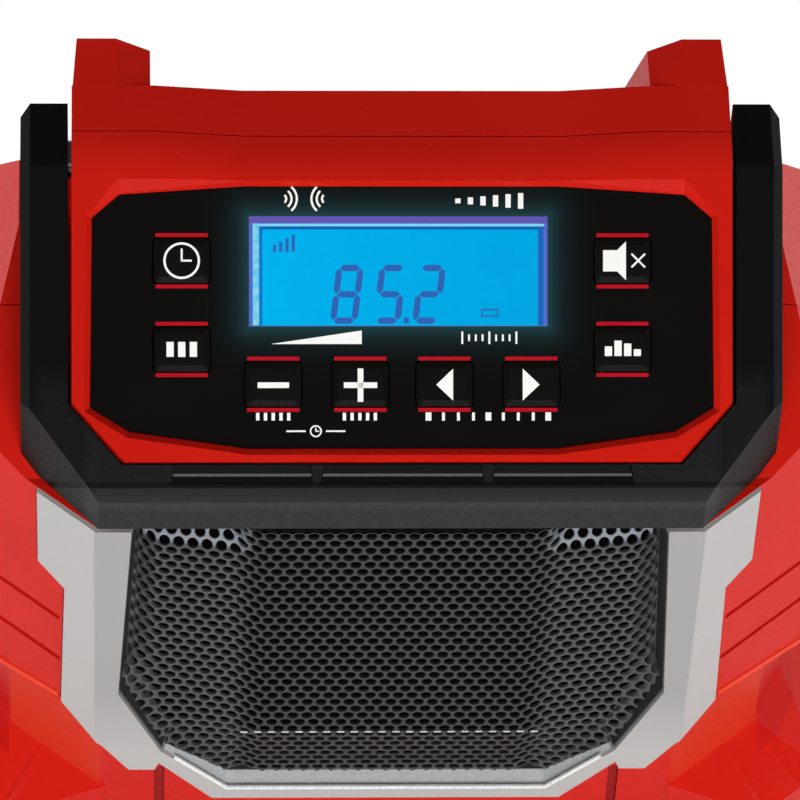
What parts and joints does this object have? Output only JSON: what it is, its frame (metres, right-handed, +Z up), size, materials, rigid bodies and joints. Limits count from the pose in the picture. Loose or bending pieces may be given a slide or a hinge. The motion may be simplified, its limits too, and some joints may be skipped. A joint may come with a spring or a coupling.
{
  "type": "jobsite radio",
  "caption": "Rugged portable radio with a folding carry handle, sloping control panel with backlit display and push keys, wide speaker grille and a slide-in battery pack at the back",
  "frame": {"origin": "on the ground at the middle of the object's box", "axes": "+X to the right as seen from the front, +Y towards the back, +Z up; the front faces -Y"},
  "size_m": [0.196, 0.13, 0.1779],
  "materials": {
    "red_plastic": "fine moulded texture",
    "charcoal_plastic": "fine moulded texture",
    "black_rubber": "matt",
    "silver_plastic": "silver metallic lacquer",
    "grille_steel": "black powder coat",
    "zinc_steel": "zinc plated",
    "magnet_ferrite": "sintered ferrite",
    "paper_cone": "pressed fibre",
    "black_foam": "closed-cell foam",
    "black_gloss": "satin black",
    "clear_window": "clear polycarbonate",
    "display_face": "backlit liquid crystal",
    "grey_silicone": "silicone",
    "green_board": "solder mask",
    "black_plastic": "grained",
    "bare_aluminium": "extruded",
    "copper_wire": "enamelled copper",
    "contact_brass": "plated",
    "key_plastic": "black with white symbols"
  },
  "bodies": {
    "radio": {"antenna_coil": "copper_wire", "aux_socket": "black_plastic", "base_cover": "charcoal_plastic", "base_screws": "zinc_steel", "battery_terminal_block": "black_plastic", "contact_strips": "contact_brass", "control_board": "green_board", "control_board_screws": "zinc_steel", "control_panel": "black_gloss", "display_module": "display_face", "display_window": "clear_window", "dust_cap": "paper_cone", "ferrite_rod": "magnet_ferrite", "front_housing": "red_plastic", "grille_cloth": "black_foam", "grille_frame": "silver_plastic", "heat_sink": "bare_aluminium", "housing_screws": "zinc_steel", "keypad_mat": "grey_silicone", "main_board": "green_board", "main_board_screws": "zinc_steel", "pivot_pins": "zinc_steel", "rear_housing": "red_plastic", "rubber_feet": "black_rubber", "speaker_basket": "zinc_steel", "speaker_cone": "paper_cone", "speaker_gasket": "black_foam", "speaker_grille": "grille_steel", "speaker_magnet": "magnet_ferrite", "speaker_screws": "zinc_steel", "speaker_surround": "black_rubber", "terminal_screws": "zinc_steel"},
    "carry_handle": {"handle": "black_plastic", "grip_pads": "black_rubber", "pivot_caps": "black_plastic"},
    "battery": {"battery_pack": "black_plastic", "battery_cap": "red_plastic"},
    "latch": {"battery_latch": "charcoal_plastic"},
    "socket_flap": {"aux_cover": "black_rubber"},
    "key_clock": {"button_clock": "key_plastic"},
    "key_preset": {"button_preset": "key_plastic"},
    "key_volume_down": {"button_volume_down": "key_plastic"},
    "key_volume_up": {"button_volume_up": "key_plastic"},
    "key_seek_down": {"button_seek_down": "key_plastic"},
    "key_seek_up": {"button_seek_up": "key_plastic"},
    "key_mode": {"button_mode": "key_plastic"},
    "key_mute": {"button_mute": "key_plastic"}
  },
  "joints": [
    {"name": "handle_pivot", "type": "hinge", "parent": "radio", "child": "carry_handle", "pos_m": [0, -0.0015, 0.16699], "axis": [-1, 0, 0], "range_deg": [0, 125]},
    {"name": "battery_slide", "type": "slide", "parent": "radio", "child": "battery", "axis": [0, 0, 1], "range_m": [0, 0.06]},
    {"name": "latch_press", "type": "slide", "parent": "battery", "child": "latch", "axis": [0, -1, 0], "range_m": [0, 0.003], "stiffness_N_per_m": 400, "springref_m": -0.001},
    {"name": "flap_hinge", "type": "hinge", "parent": "radio", "child": "socket_flap", "pos_m": [0.091, 0.01, 0.0972], "axis": [0, -1, 0], "range_deg": [0, 90]},
    {"name": "clock_press", "type": "slide", "parent": "radio", "child": "key_clock", "axis": [0, 0.5878, -0.809], "range_m": [0, 0.0008], "stiffness_N_per_m": 400, "springref_m": -0.0005},
    {"name": "preset_press", "type": "slide", "parent": "radio", "child": "key_preset", "axis": [0, 0.5878, -0.809], "range_m": [0, 0.0008], "stiffness_N_per_m": 400, "springref_m": -0.0005},
    {"name": "volume_down_press", "type": "slide", "parent": "radio", "child": "key_volume_down", "axis": [0, 0.5878, -0.809], "range_m": [0, 0.0008], "stiffness_N_per_m": 400, "springref_m": -0.0005},
    {"name": "volume_up_press", "type": "slide", "parent": "radio", "child": "key_volume_up", "axis": [0, 0.5878, -0.809], "range_m": [0, 0.0008], "stiffness_N_per_m": 400, "springref_m": -0.0005},
    {"name": "seek_down_press", "type": "slide", "parent": "radio", "child": "key_seek_down", "axis": [0, 0.5878, -0.809], "range_m": [0, 0.0008], "stiffness_N_per_m": 400, "springref_m": -0.0005},
    {"name": "seek_up_press", "type": "slide", "parent": "radio", "child": "key_seek_up", "axis": [0, 0.5878, -0.809], "range_m": [0, 0.0008], "stiffness_N_per_m": 400, "springref_m": -0.0005},
    {"name": "mode_press", "type": "slide", "parent": "radio", "child": "key_mode", "axis": [0, 0.5878, -0.809], "range_m": [0, 0.0008], "stiffness_N_per_m": 400, "springref_m": -0.0005},
    {"name": "mute_press", "type": "slide", "parent": "radio", "child": "key_mute", "axis": [0, 0.5878, -0.809], "range_m": [0, 0.0008], "stiffness_N_per_m": 400, "springref_m": -0.0005}
  ]
}
